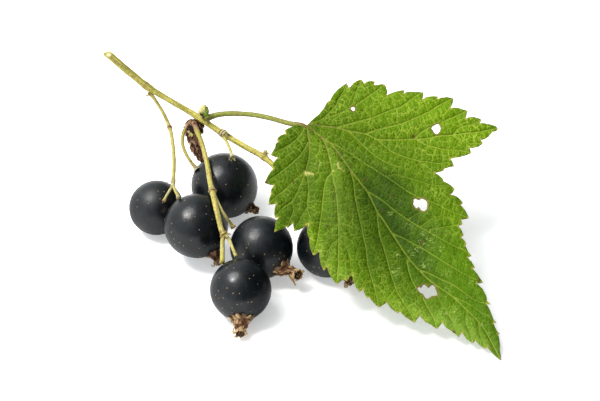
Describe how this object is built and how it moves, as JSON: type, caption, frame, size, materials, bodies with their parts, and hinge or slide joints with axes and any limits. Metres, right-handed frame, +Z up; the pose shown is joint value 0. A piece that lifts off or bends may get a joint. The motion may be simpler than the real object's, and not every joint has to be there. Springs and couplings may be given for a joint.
{
  "type": "blackcurrant sprig",
  "caption": "Cut blackcurrant shoot lying on a surface: thin stem, toothed lobed leaf with small holes, and dark round berries with dried brown flower ends.",
  "frame": {"origin": "centre of the sprig's footprint box, at the height of the surface that it lies on", "axes": "+Z up from the surface, +X along the sprig's length from the cut end of the stem towards the leaf, +Y away from the leaf's tip"},
  "size_m": [0.0714, 0.0612, 0.0251],
  "materials": {
    "green_stem": "satin",
    "strig": "satin",
    "petiole": "satin",
    "leaf": "satin",
    "bud": "satin",
    "dry_scale": "matte",
    "berry_skin": "satin",
    "dried_flower": "matte"
  },
  "bodies": {
    "root": {"main_stem": "green_stem", "left_strig": "strig", "middle_strig": "strig", "curved_pedicel": "strig", "short_pedicel": "strig", "petiole": "petiole", "leaf_blade": "leaf", "green_bud": "bud", "bud_scales": "dry_scale", "dried_bract": "dry_scale", "berry_1": "berry_skin", "berry_2": "berry_skin", "berry_3": "berry_skin", "berry_4": "berry_skin", "berry_5": "berry_skin", "berry_6": "berry_skin", "calyx_1": "dried_flower", "calyx_2": "dried_flower", "calyx_3": "dried_flower", "calyx_4": "dried_flower", "calyx_5": "dried_flower", "calyx_6": "dried_flower"}
  },
  "joints": []
}
